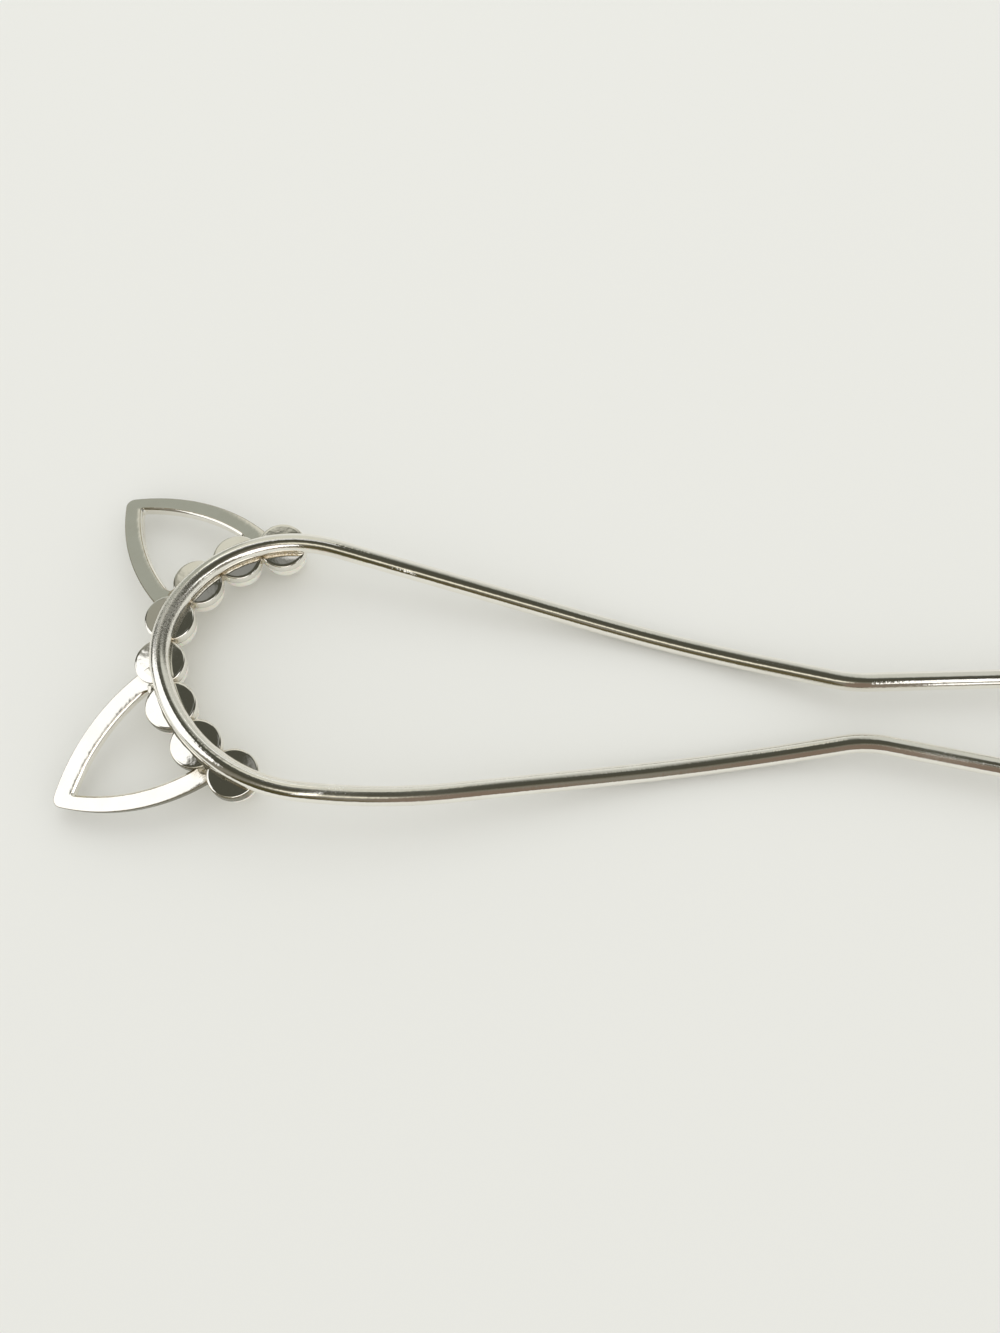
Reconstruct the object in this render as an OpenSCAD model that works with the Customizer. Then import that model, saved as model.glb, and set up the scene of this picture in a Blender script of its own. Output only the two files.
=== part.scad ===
// Two-legged hair fork: a bent wire with a row of pearl cups and two pointed ears soldered to its bow.
// It lies back up, on its pearls and on both legs. The floor is z = 0, the legs run along +X.
// The legs and the two sides of the bow are bent by hand and differ a little.

/* [Wire] */
// diameter of the fork wire, mm
wire_d = 2; // [1.8:0.1:2.2]
// bend radius at the middle of the bow
bow_mid_r = 10.5; // [10:0.25:11]
// turn of each half of the middle bend, degrees
bow_mid_turn = 21; // [19:1:23]
// bend radius of the bow's side towards +Y
bow_left_r = 13.25; // [12.75:0.25:13.75]
// bend radius of the bow's side towards -Y
bow_right_r = 16.8; // [16.3:0.1:17.3]
// height of the wire's centre over the backs of the cups
wire_lift = 0.6; // [0.55:0.05:0.9]

/* [Legs] */
// plan angle at which the +Y leg closes in, degrees
left_close = 10; // [9.5:0.25:10.5]
// plan angle at which the -Y leg closes in, degrees
right_close = 12.45; // [12:0.15:12.75]
// plan angle of the +Y leg between the floor and its kink, degrees
left_pinch = 10.9; // [10.5:0.1:11.2]
// plan angle of the -Y leg between the floor and its kink, degrees
right_pinch = 12.45; // [12:0.15:12.75]
// bend radius where the +Y leg leaves the bow
left_shoulder_r = 17.5; // [12:0.5:24]
// bend radius where the -Y leg leaves the bow
right_shoulder_r = 64; // [50:1:70]
// downward slope of the legs behind the head, degrees
leg_drop = 6.3; // [6:0.1:6.8]
// upward slope of the legs before the kink, degrees
leg_rise = 6.4; // [6:0.1:6.8]
// bend radius where the legs touch the floor
floor_bend_r = 85; // [70:5:90]
// distance of the +Y leg's kink from the middle of the bow
left_kink_x = 70.65; // [70:0.05:71.5]
// distance of the -Y leg's kink from the middle of the bow
right_kink_x = 72; // [71.5:0.25:73]
// bend radius of the kinks
kink_r = 13; // [9:1:16]
// plan angle at which the +Y leg opens behind its kink, degrees
left_open = 6.1; // [5:0.1:7]
// plan angle at which the -Y leg opens behind its kink, degrees
right_open = 7.3; // [6:0.1:8]
// upward slope of the leg ends, degrees
end_rise = 0.7; // [0:0.1:1.5]
// distance of the leg ends from the middle of the bow
legs_x = 113.5; // [105:0.5:120]

/* [Cups and pearls] */
// outer diameter of a cup
cup_d = 5.1; // [5:0.05:5.2]
// height of a cup's wall
cup_h = 1.35; // [1.2:0.05:1.5]
// spacing of the cups along the bow
cup_pitch = 4.9; // [4.85:0.05:5]
// radius of the rounded edge of a cup's back
cup_edge_r = 0.25; // [0.15:0.05:0.3]
// downward pitch of the head towards the legs, degrees
head_pitch = 3.7; // [3.5:0.1:3.9]
// diameter of a pearl
pearl_d = 4.72; // [4.6:0.02:4.74]
// depth of a pearl's centre under the back of its cup
pearl_depth = 2.1; // [2:0.05:2.2]
// thickness of a cup's base over the pearl
cup_base = 0.54; // [0.5:0.02:0.6]

/* [Ears] */
// width of an ear at its foot
ear_width = 13.6; // [13.4:0.1:13.8]
// height of an ear to the point where its sides meet
ear_height = 14.45; // [14:0.15:14.9]
// place of that point along the foot
ear_lean = 5.5; // [5:0.25:6]
// how far the outer side bulges
ear_outer_bulge = 1.38; // [1.2:0.06:1.5]
// how far the inner side bulges
ear_inner_bulge = 1.74; // [1.6:0.07:1.9]
// radius of an ear's rounded point
ear_tip_r = 0.9; // [0.7:0.1:1]
// thickness of an ear
ear_t = 1.05; // [0.9:0.05:1.1]
// depth of the ear's back under the backs of the cups, at its foot
ear_drop = 0.25; // [0.2:0.05:0.3]
// forward lean of an ear from the plane of the cups, degrees
ear_tilt = 13; // [11:1:14]

/* [Hidden] */
$fn = 96;
cup_count = 8;
half_count = cup_count / 2;
metal_colour = [0.80, 0.79, 0.76];
pearl_colour = [0.93, 0.90, 0.82];
wire_r = wire_d / 2;
cup_r = cup_d / 2;
pearl_r = pearl_d / 2;
pearl_gap = 0.06;
cup_offset = 0.15;
bow_turn = 89;
// straight pieces are drawn this much thicker than bends and reach this far into them
joint_step = 0.01;
joint_reach = 0.1;
rad = 180 / PI;

// height of the cups' back plane over the floor at the middle of the bow: the lowest pearls touch z = 0
head_h = pearl_r + pearl_depth * cos(head_pitch) + max(cup_place(half_count - 1, 1)[0],
    cup_place(half_count - 1, -1)[0]) * sin(head_pitch);

// vector helpers
function unit(v) = v / norm(v);
function turn_between(a, b) = acos(max(-1, min(1, a * b)));
// direction from an azimuth and a slope
function heading(az, el) = [cos(el) * cos(az), cos(el) * sin(az), sin(el)];
// centre side of a bend that turns direction a into direction b
function bend_side(a, b) = unit(b - a * (a * b));
// end point of that bend
function bend_end(p, a, b, r) = p + r * sin(turn_between(a, b)) * a
    + r * (1 - cos(turn_between(a, b))) * bend_side(a, b);
// point and direction of the pitched head in the part's frame
function head_dir(v) = [v[0] * cos(head_pitch) + v[2] * sin(head_pitch), v[1],
    -v[0] * sin(head_pitch) + v[2] * cos(head_pitch)];
function head_point(p) = head_dir(p) + [0, 0, head_h];

// bow in the head's plane: side is 1 for the +Y half and -1 for the -Y half
function bow_side_r(side) = side > 0 ? bow_left_r : bow_right_r;
function bow_dir(turn, side) = [sin(turn), side * cos(turn), 0];
function bow_mid_end(side) = bend_end([0, 0, wire_lift], [0, side, 0], bow_dir(bow_mid_turn, side),
    bow_mid_r);
function bow_end(side) = bend_end(bow_mid_end(side), bow_dir(bow_mid_turn, side), bow_dir(bow_turn, side),
    bow_side_r(side));

// centre of a cup, counted from the middle of the bow along a line cup_offset outside the wire
function mid_span() = (bow_mid_r + cup_offset) * bow_mid_turn / rad;
function cup_turn(i, side) = (i + 0.5) * cup_pitch < mid_span()
    ? (i + 0.5) * cup_pitch / (bow_mid_r + cup_offset) * rad
    : bow_mid_turn + ((i + 0.5) * cup_pitch - mid_span()) / (bow_side_r(side) + cup_offset) * rad;
function side_centre(side) = [bow_mid_r + (bow_side_r(side) - bow_mid_r) * cos(bow_mid_turn),
    -side * (bow_side_r(side) - bow_mid_r) * sin(bow_mid_turn)];
function cup_place(i, side) = cup_turn(i, side) < bow_mid_turn
    ? [bow_mid_r - (bow_mid_r + cup_offset) * cos(cup_turn(i, side)),
        side * (bow_mid_r + cup_offset) * sin(cup_turn(i, side))]
    : side_centre(side) + (bow_side_r(side) + cup_offset)
        * [-cos(cup_turn(i, side)), side * sin(cup_turn(i, side))];

// stations of a leg: shoulder, floor bend, kink and end
function leg_close(side) = side > 0 ? left_close : right_close;
function leg_pinch(side) = side > 0 ? left_pinch : right_pinch;
function leg_open(side) = side > 0 ? left_open : right_open;
function kink_x(side) = side > 0 ? left_kink_x : right_kink_x;
function shoulder_r(side) = side > 0 ? left_shoulder_r : right_shoulder_r;
function fall_dir(side) = heading(-side * leg_close(side), -leg_drop);
function rise_dir(side) = heading(-side * leg_pinch(side), leg_rise);
function end_dir(side) = heading(side * leg_open(side), end_rise);
function leg_start(side) = head_point(bow_end(side));
function start_dir(side) = head_dir(bow_dir(bow_turn, side));
function shoulder_end(side) = bend_end(leg_start(side), start_dir(side), fall_dir(side), shoulder_r(side));
// the floor bend's lowest point is one wire radius over the floor
function floor_start(side) = shoulder_end(side) + fall_dir(side)
    * (shoulder_end(side)[2] - wire_r - floor_bend_r * (1 - cos(leg_drop))) / sin(leg_drop);
function floor_end(side) = bend_end(floor_start(side), fall_dir(side), rise_dir(side), floor_bend_r);
function kink_half(side) = kink_r * tan(turn_between(rise_dir(side), end_dir(side)) / 2);
function kink_start(side) = floor_end(side) + rise_dir(side)
    * ((kink_x(side) - floor_end(side)[0]) / rise_dir(side)[0] - kink_half(side));
function kink_end(side) = bend_end(kink_start(side), rise_dir(side), end_dir(side), kink_r);
function leg_end(side) = kink_end(side)
    + end_dir(side) * (legs_x - kink_end(side)[0]) / end_dir(side)[0];

// ear outline: each side is an arc through the foot and the point, the sides meet at ear_point
ear_foot = [-1.6, 3.85];
ear_foot_turn = 47.85;
ear_point = [ear_lean, ear_height];
ear_foot_end = [ear_width, 0];
ear_inner_start = [1.65, 0.35];
ear_inner_point = [5.95, 12.45];
ear_inner_end = [11.9, 1];
inner_outer_bulge = 1;
inner_inner_bulge = 1.05;
ear_foot_depth = 1.1;
function arc_r(a, b, bulge) = (pow(norm(b - a) / 2, 2) + pow(bulge, 2)) / (2 * bulge);
function arc_centre(a, b, bulge) = (a + b) / 2
    + unit([(b - a)[1], -(b - a)[0]]) * (arc_r(a, b, bulge) - bulge);
// centre of a circle of radius r inside both arcs, found from the distances to the two arc centres
function tip_centre(c1, r1, c2, r2, r) =
    let (d = norm(c2 - c1), u = (c2 - c1) / d, along = (pow(r1 - r, 2) - pow(r2 - r, 2) + d * d) / (2 * d))
    c1 + along * u + sqrt(pow(r1 - r, 2) - along * along) * [-u[1], u[0]];
outer_r = arc_r([0, 0], ear_point, ear_outer_bulge);
outer_centre = arc_centre([0, 0], ear_point, ear_outer_bulge);
inner_r = arc_r(ear_point, ear_foot_end, ear_inner_bulge);
inner_centre = arc_centre(ear_point, ear_foot_end, ear_inner_bulge);
ear_tip = tip_centre(inner_centre, inner_r, outer_centre, outer_r, ear_tip_r);
outer_touch = outer_centre + unit(ear_tip - outer_centre) * outer_r;
inner_touch = inner_centre + unit(ear_tip - inner_centre) * inner_r;

// the part's origin lies under the middle of its length
tip_in_head = ear_foot + [cos(ear_foot_turn) * ear_tip[0] - sin(ear_foot_turn) * cos(ear_tilt) * ear_tip[1],
    sin(ear_foot_turn) * ear_tip[0] + cos(ear_foot_turn) * cos(ear_tilt) * ear_tip[1]];
ear_tip_z = -ear_drop - ear_tip[1] * sin(ear_tilt);
front_x = head_point([tip_in_head[0], tip_in_head[1], ear_tip_z])[0] - ear_tip_r;
back_x = legs_x + wire_r;
origin_x = (front_x + back_x) / 2;

// straight piece of wire from p to q, reaching a little into the bends at both ends
module rod(p, q) {
    d = q - p;
    translate(p - unit(d) * joint_reach)
        rotate([0, acos(d[2] / norm(d)), atan2(d[1], d[0])])
            cylinder(h = norm(d) + 2 * joint_reach, r = wire_r);
}

// bend of wire from p, turning direction a into direction b with radius r
module bend(p, a, b, r) {
    side = bend_side(a, b);
    up = cross(a, side);
    translate(p + r * side)
        rotate([atan2(a[2], up[2]), asin(side[2]), atan2(-side[1], -side[0])])
            rotate_extrude(angle = turn_between(a, b))
                translate([r, 0])
                    circle(r = wire_r - joint_step);
}

// middle of the bow, from the -Y half's side bend to the +Y half's
module bow_middle() {
    bend(head_point(bow_mid_end(-1)), -head_dir(bow_dir(bow_mid_turn, -1)),
        head_dir(bow_dir(bow_mid_turn, 1)), bow_mid_r);
}

// one side of the bow and its leg, to the leg's rounded tip
module leg(side) {
    rod(head_point(bow_mid_end(side)), head_point(bow_mid_end(side)) + head_dir(bow_dir(bow_mid_turn, side))
        * joint_step);
    bend(head_point(bow_mid_end(side)), head_dir(bow_dir(bow_mid_turn, side)), start_dir(side),
        bow_side_r(side));
    rod(leg_start(side), leg_start(side) + start_dir(side) * joint_step);
    bend(leg_start(side), start_dir(side), fall_dir(side), shoulder_r(side));
    rod(shoulder_end(side), floor_start(side));
    bend(floor_start(side), fall_dir(side), rise_dir(side), floor_bend_r);
    rod(floor_end(side), kink_start(side));
    bend(kink_start(side), rise_dir(side), end_dir(side), kink_r);
    rod(kink_end(side), leg_end(side));
    translate(leg_end(side))
        sphere(r = wire_r - joint_step);
}

// disc of a cup with its rounded back edge at z = 0
module cup_body() {
    rotate_extrude() {
        translate([0, -cup_h])
            square([cup_r, cup_h - cup_edge_r]);
        translate([0, -cup_edge_r])
            square([cup_r - cup_edge_r, cup_edge_r]);
        translate([cup_r - cup_edge_r, -cup_edge_r])
            circle(r = cup_edge_r);
    }
}

// ball with its back cut flat at the given depth
module flat_ball(r, flat_depth) {
    intersection() {
        translate([0, 0, -pearl_depth])
            sphere(r = r);
        translate([-r, -r, -flat_depth - 2 * r])
            cube(2 * r);
    }
}

// one pearl's place in the head
module at_cup(i, side) {
    translate([cup_place(i, side)[0], cup_place(i, side)[1], 0])
        children();
}

// lens between two arcs, given by the circles they lie on
module lens(c1, r1, c2, r2, z0, z1) {
    intersection() {
        translate([c1[0], c1[1], z0])
            cylinder(h = z1 - z0, r = r1);
        translate([c2[0], c2[1], z0])
            cylinder(h = z1 - z0, r = r2);
    }
}

// outer shape of an ear in its own plane, foot along x, back at z = 0
module ear_plate() {
    intersection() {
        lens(outer_centre, outer_r, inner_centre, inner_r, -ear_t, 0);
        translate([0, 0, -ear_t])
            linear_extrude(height = ear_t)
                polygon([[-1, -ear_foot_depth], [ear_width + 1, -ear_foot_depth],
                    [ear_width + 1, inner_touch[1]], inner_touch, outer_touch, [-1, outer_touch[1]]]);
    }
    translate([ear_tip[0], ear_tip[1], -ear_t])
        cylinder(h = ear_t, r = ear_tip_r);
}

// opening of an ear, cut past both faces, with its foot closed by the cups
module ear_opening() {
    lens(arc_centre(ear_inner_start, ear_inner_point, inner_outer_bulge),
        arc_r(ear_inner_start, ear_inner_point, inner_outer_bulge),
        arc_centre(ear_inner_point, ear_inner_end, inner_inner_bulge),
        arc_r(ear_inner_point, ear_inner_end, inner_inner_bulge), -2 * ear_t, ear_t);
}

// one ear leaned forward about its foot, +Y side
module ear() {
    translate([ear_foot[0], ear_foot[1], -ear_drop])
        rotate([0, 0, ear_foot_turn])
            rotate([-ear_tilt, 0, 0])
                difference() {
                    ear_plate();
                    ear_opening();
                }
}

// head's own frame: pitched towards the legs, at its height over the floor
module place_head() {
    translate([-origin_x, 0, head_h])
        rotate([0, head_pitch, 0])
            children();
}

module fork_metal() {
    color(metal_colour) {
        place_head()
            difference() {
                union() {
                    for (side = [1, -1])
                        for (i = [0 : half_count - 1])
                            at_cup(i, side)
                                cup_body();
                    ear();
                    mirror([0, 1, 0])
                        ear();
                }
                for (side = [1, -1])
                    for (i = [0 : half_count - 1])
                        at_cup(i, side)
                            flat_ball(pearl_r + pearl_gap, cup_base);
            }
        translate([-origin_x, 0, 0]) {
            bow_middle();
            leg(1);
            leg(-1);
        }
    }
}

// one pearl, drawn apart from its cup by pearl_gap
module pearl(i, side) {
    color(pearl_colour)
        place_head()
            at_cup(i, side)
                flat_ball(pearl_r, cup_base + pearl_gap);
}

// the pearls count along the row from its +Y end
module pearl_1() { pearl(3, 1); }
module pearl_2() { pearl(2, 1); }
module pearl_3() { pearl(1, 1); }
module pearl_4() { pearl(0, 1); }
module pearl_5() { pearl(0, -1); }
module pearl_6() { pearl(1, -1); }
module pearl_7() { pearl(2, -1); }
module pearl_8() { pearl(3, -1); }

fork_metal();
pearl_1();
pearl_2();
pearl_3();
pearl_4();
pearl_5();
pearl_6();
pearl_7();
pearl_8();
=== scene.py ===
import bpy
import numpy as np
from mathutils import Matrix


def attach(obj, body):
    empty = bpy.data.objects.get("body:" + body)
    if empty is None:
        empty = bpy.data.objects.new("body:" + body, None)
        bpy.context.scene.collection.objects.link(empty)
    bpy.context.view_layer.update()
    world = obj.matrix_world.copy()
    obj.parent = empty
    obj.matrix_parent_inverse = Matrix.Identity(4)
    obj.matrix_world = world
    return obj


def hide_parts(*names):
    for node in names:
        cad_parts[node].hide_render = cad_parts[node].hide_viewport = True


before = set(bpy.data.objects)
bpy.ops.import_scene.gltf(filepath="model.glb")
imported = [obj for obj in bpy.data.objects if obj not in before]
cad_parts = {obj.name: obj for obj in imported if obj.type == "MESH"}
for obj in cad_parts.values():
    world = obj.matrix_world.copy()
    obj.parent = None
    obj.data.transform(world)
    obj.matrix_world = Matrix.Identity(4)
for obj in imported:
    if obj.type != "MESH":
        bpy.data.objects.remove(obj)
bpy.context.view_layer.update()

# Fork wire
# One length of 2 mm brass wire, bent cold into a bow and two legs that close in to a kink and open again
# towards rounded ends. It is silver plated after the cups and the ears are soldered to the bow.
MM = 0.001
# sizes in millimetres and angles in degrees; values in braces are for the +Y half, 1, and the -Y half, -1
WIRE_R, SKIN_R = 1.0, 0.99
WIRE_LIFT = 0.6
BOW_MID_R, BOW_MID_TURN = 10.5, 21.0
BOW_SIDE_R = {1: 13.25, -1: 16.8}
BOW_TURN = 89.0
HEAD_PITCH = 3.7
HEAD_HEIGHT = 5.1138
ORIGIN_X = 53.0239
CLOSE_ANGLE = {1: 10.0, -1: 12.45}
PINCH_ANGLE = {1: 10.9, -1: 12.45}
OPEN_ANGLE = {1: 6.1, -1: 7.3}
SHOULDER_R = {1: 17.5, -1: 64.0}
LEG_DROP, LEG_RISE, END_RISE = 6.3, 6.4, 0.7
FLOOR_BEND_R = 85.0
KINK_X, KINK_R = {1: 70.65, -1: 72.0}, 13.0
LEGS_X = 113.5
BOW_STEP, SHOULDER_STEP, FLOOR_BEND_STEP, KINK_STEP, STRAIGHT_STEP = 0.2, 0.4, 0.8, 0.15, 1.0
WIRE_SIDES, WIRE_END_RINGS = 48, 12


def unit(v):
    """v divided by its length, along the last axis."""
    v = np.asarray(v, float)
    return v / np.linalg.norm(v, axis=-1, keepdims=True)


def heading(azimuth, slope):
    """Unit vector from a plan angle and a slope, both in degrees."""
    a, s = np.radians([azimuth, slope])
    return np.array([np.cos(s) * np.cos(a), np.cos(s) * np.sin(a), np.sin(s)])


def from_head(points):
    """Points of the head's own frame in the part's frame: turned about Y by the pitch, lifted, and moved."""
    p = np.radians(HEAD_PITCH)
    turn = np.array([[np.cos(p), 0, np.sin(p)], [0, 1, 0], [-np.sin(p), 0, np.cos(p)]])
    return np.asarray(points, float) @ turn.T + [-ORIGIN_X, 0, HEAD_HEIGHT]


def head_dir(v):
    """A direction of the head's frame in the part's frame."""
    return from_head(v) - from_head([0.0, 0.0, 0.0])


def turn_of(a, b):
    """Angle between two unit vectors, in radians."""
    return np.arccos(np.clip(a @ b, -1, 1))


def bend(p, a, b, r, step):
    """Points of a circular bend from p, from direction a to b: p + r sin(t) a + r (1 - cos t) side."""
    side = unit(b - a * (a @ b))
    t = np.linspace(0, turn_of(a, b), max(3, int(r * turn_of(a, b) / step) + 2))[:, None]
    return p + r * np.sin(t) * a + r * (1 - np.cos(t)) * side


def straight(p, q):
    """Points evenly spaced from p to q, about STRAIGHT_STEP apart."""
    return p + (q - p) * np.linspace(0, 1, int(np.linalg.norm(q - p) / STRAIGHT_STEP) + 2)[:, None]


def bow_dir(turn, side):
    """Direction of the wire in the head's plane after it has turned by so many degrees from the middle."""
    return np.array([np.sin(np.radians(turn)), side * np.cos(np.radians(turn)), 0.0])


def half_line(side):
    """Centre line of one half of the wire, from the middle of the bow to the leg's end: two arcs of the bow,
    a shoulder, a straight drop, the bend where the leg touches the floor, a straight rise, kink and end."""
    middle = bend(np.array([0, 0, WIRE_LIFT]), np.array([0.0, side, 0]), bow_dir(BOW_MID_TURN, side),
                  BOW_MID_R, BOW_STEP)
    bow = bend(middle[-1], bow_dir(BOW_MID_TURN, side), bow_dir(BOW_TURN, side), BOW_SIDE_R[side], BOW_STEP)
    start = head_dir(bow_dir(BOW_TURN, side))
    fall = heading(-side * CLOSE_ANGLE[side], -LEG_DROP)
    rise = heading(-side * PINCH_ANGLE[side], LEG_RISE)
    end = heading(side * OPEN_ANGLE[side], END_RISE)
    shoulder = bend(from_head(bow[-1]), start, fall, SHOULDER_R[side], SHOULDER_STEP)
    drop = np.radians(LEG_DROP)
    above_bend = shoulder[-1][2] - WIRE_R - FLOOR_BEND_R * (1 - np.cos(drop))
    low = shoulder[-1] + fall * above_bend / np.sin(drop)
    floor_bend = bend(low, fall, rise, FLOOR_BEND_R, FLOOR_BEND_STEP)
    kink_half = KINK_R * np.tan(turn_of(rise, end) / 2)
    to_kink = (KINK_X[side] - ORIGIN_X - floor_bend[-1][0]) / rise[0] - kink_half
    kink_start = floor_bend[-1] + rise * to_kink
    kink = bend(kink_start, rise, end, KINK_R, KINK_STEP)
    tip = kink[-1] + end * (LEGS_X - ORIGIN_X - kink[-1][0]) / end[0]
    parts = [from_head(middle), from_head(bow), shoulder, straight(shoulder[-1], low), floor_bend,
             straight(floor_bend[-1], kink_start), kink, straight(kink[-1], tip)]
    return np.concatenate([parts[0]] + [p[1:] for p in parts[1:]])


def along(line):
    """Length run along a line of points, starting at 0."""
    return np.concatenate([[0], np.cumsum(np.linalg.norm(np.diff(line, axis=0), axis=1))])


def directions(line):
    """Unit tangent at each point of a line."""
    return unit(np.gradient(line, along(line), axis=0))


def ring_stack(rings, first, last):
    """Closed skin over a stack of closed rings of equally many points, each end drawn in to one point. Its
    faces are turned over where its signed volume, a sixth of the sum of a . (b x c), is negative."""
    count, sides = rings.shape[:2]
    points = np.concatenate([rings.reshape(-1, 3), [first, last]])
    row = np.arange(count - 1)[:, None] * sides
    here, there = np.arange(sides)[None], (np.arange(sides)[None] + 1) % sides
    quads = np.stack([row + here, row + there, row + sides + there, row + sides + here], -1).reshape(-1, 4)
    top = (count - 1) * sides
    caps = np.concatenate([
        np.stack([there[0], here[0], np.full(sides, count * sides)], -1),
        np.stack([top + here[0], top + there[0], np.full(sides, count * sides + 1)], -1)])
    triangles = np.concatenate([quads[:, [0, 1, 2]], quads[:, [0, 2, 3]], caps])
    a, b, c = (points[triangles[:, k]] for k in range(3))
    if np.einsum("ij,ij->i", a, np.cross(b, c)).sum() < 0:
        quads, caps = quads[:, ::-1], caps[:, ::-1]
    return points, quads.tolist() + caps.tolist()


def point_values(mesh, name, values):
    """Stores one number for each point of a mesh under a name that its material reads."""
    mesh.attributes.new(name, "FLOAT", "POINT").data.foreach_set("value", values.astype(np.float32))


def new_piece(name, skin, material, tarnish_and_shade):
    """Mesh object in metres with smooth faces, riding on the fork's one body. Its darkening value for each
    point is 0 where the metal is clean and 1 deep in a joint, standing for tarnish and for painted shade, and
    up to 2 it is painted shade that turns the metal black."""
    points, faces = skin
    mesh = bpy.data.meshes.new(name)
    mesh.from_pydata((points * MM).tolist(), [], faces)
    mesh.shade_smooth()
    point_values(mesh, "tarnish_and_shade", tarnish_and_shade)
    mesh.materials.append(material)
    piece = bpy.data.objects.new(name, mesh)
    bpy.context.scene.collection.objects.link(piece)
    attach(piece, "root")
    return piece


def swept(line, rim, across):
    """Rings of a section carried along a line: point + across * rim x + up * rim y, up square to the line."""
    up = np.cross(directions(line), across)
    up = up * np.sign(up[:, 2:])
    return line[:, None] + across[:, None] * rim[..., :1] + up[:, None] * rim[..., 1:]


def level_across(line):
    """Level unit vector square to the line at each point."""
    return unit(np.cross([0.0, 0.0, 1.0], directions(line)))


def wire_skin(line):
    """Tube of radius SKIN_R around the line, closed by half balls: rings that shrink by cos t while they move
    out by SKIN_R sin t."""
    angle = np.linspace(0, 2 * np.pi, WIRE_SIDES, endpoint=False)
    rim = SKIN_R * np.stack([np.cos(angle), np.sin(angle)], -1)
    rings = swept(line, np.broadcast_to(rim, (len(line), WIRE_SIDES, 2)), level_across(line))
    t = np.radians(np.linspace(6, 84, WIRE_END_RINGS))
    ends = []
    for at, way in ((0, -1), (-1, 1)):
        reach = way * directions(line)[at] * SKIN_R
        centre, ring = line[at], rings[at]
        cap = centre + (ring - centre) * np.cos(t)[:, None, None] + reach * np.sin(t)[:, None, None]
        ends.append((cap, centre + reach))
    rings = np.concatenate([ends[0][0][::-1], rings, ends[1][0]])
    return ring_stack(rings, ends[0][1], ends[1][1])


def group_socket(group, name, kind, way, value=None):
    """One named input or output of a shader node group."""
    socket = group.interface.new_socket(name=name, in_out=way, socket_type=kind)
    if value is not None:
        socket.default_value = value


def link(tree, source, out, target, into):
    """Joins two nodes of a tree by the names or numbers of their sockets."""
    tree.links.new(source.outputs[out], target.inputs[into])


def node(tree, kind, **settings):
    """A new node of a tree with some of its settings and, under their socket names, its input values."""
    made, values = tree.nodes.new(kind), settings.pop("values", {})
    for key, value in settings.items():
        setattr(made, key, value)
    for key, value in values.items():
        made.inputs[key].default_value = value
    return made


def noise(tree, place, out, scale, detail, roughness):
    """Noise texture read at a place, with about scale patches to the millimetre."""
    made = node(tree, "ShaderNodeTexNoise", values={"Scale": scale, "Detail": detail, "Roughness": roughness})
    link(tree, place, out, made, "Vector")
    return made


def ranged(tree, source, out, low, high, to_low=0.0, to_high=1.0):
    """Linked value stretched so that low to high becomes to_low to to_high, and cut off beyond."""
    made = node(tree, "ShaderNodeMapRange", values={"From Min": low, "From Max": high,
                                                    "To Min": to_low, "To Max": to_high})
    link(tree, source, out, made, "Value")
    return made


def worked_out(tree, operation, a, a_out, b, b_out, clamp=False):
    """Math node on two linked values."""
    made = node(tree, "ShaderNodeMath", operation=operation, use_clamp=clamp)
    link(tree, a, a_out, made, 0)
    link(tree, b, b_out, made, 1)
    return made


def relief(tree, source, out, height, under=None):
    """Bump node that takes a linked value as a height in millimetres, laid over the relief under it."""
    made = node(tree, "ShaderNodeBump", values={"Strength": 1.0, "Distance": height * MM})
    link(tree, source, out, made, "Height")
    if under is not None:
        link(tree, under, "Normal", made, "Normal")
    return made


def new_material(name, settings):
    """Material, its node tree, and its Principled shader with the values that are the same all over."""
    material = bpy.data.materials.new(name)
    material.use_nodes = True
    shader = material.node_tree.nodes["Principled BSDF"]
    for key, value in settings.items():
        shader.inputs[key].default_value = value
    return material, material.node_tree, shader


def place_in_mm(tree):
    """Object coordinates in millimetres."""
    where = node(tree, "ShaderNodeTexCoord")
    scaled = node(tree, "ShaderNodeVectorMath", operation="SCALE", values={"Scale": 1 / MM})
    link(tree, where, "Object", scaled, 0)
    return scaled


# turn in radians and stretch of the two brushings that leave marks
BRUSHINGS = (((0.3, 0.2, 0.5), (1.0, 14.0, 9.0)), ((0.9, 0.4, 2.1), (12.0, 1.0, 10.0)))


def polish_marks_group():
    """Fine marks of polishing and wear: a mask of thin stretched noise lines in two directions, and the value
    of a slow mottling that lies over the whole surface. Scale is in marks per millimetre."""
    tree = bpy.data.node_groups.new("polish_marks", "ShaderNodeTree")
    group_socket(tree, "Position", "NodeSocketVector", "INPUT")
    group_socket(tree, "Scale", "NodeSocketFloat", "INPUT", 1.0)
    group_socket(tree, "Lines", "NodeSocketFloat", "OUTPUT")
    group_socket(tree, "Mottle", "NodeSocketFloat", "OUTPUT")
    start, end = node(tree, "NodeGroupInput"), node(tree, "NodeGroupOutput")
    either = node(tree, "ShaderNodeMath", operation="MAXIMUM")
    for k, (turn, stretch) in enumerate(BRUSHINGS):
        place = node(tree, "ShaderNodeMapping", values={"Rotation": turn, "Scale": stretch})
        link(tree, start, "Position", place, "Vector")
        lines = noise(tree, place, "Vector", 1.0, 3.0, 0.6)
        link(tree, start, "Scale", lines, "Scale")
        thin = ranged(tree, lines, "Fac", 0.62, 0.74)
        link(tree, thin, "Result", either, k)
    slow = noise(tree, start, "Position", 0.35, 4.0, 0.55)
    link(tree, either, "Value", end, "Lines")
    link(tree, slow, "Fac", end, "Mottle")
    return tree


polish_marks = polish_marks_group()
SILVER = (0.95, 0.93, 0.875)
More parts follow.
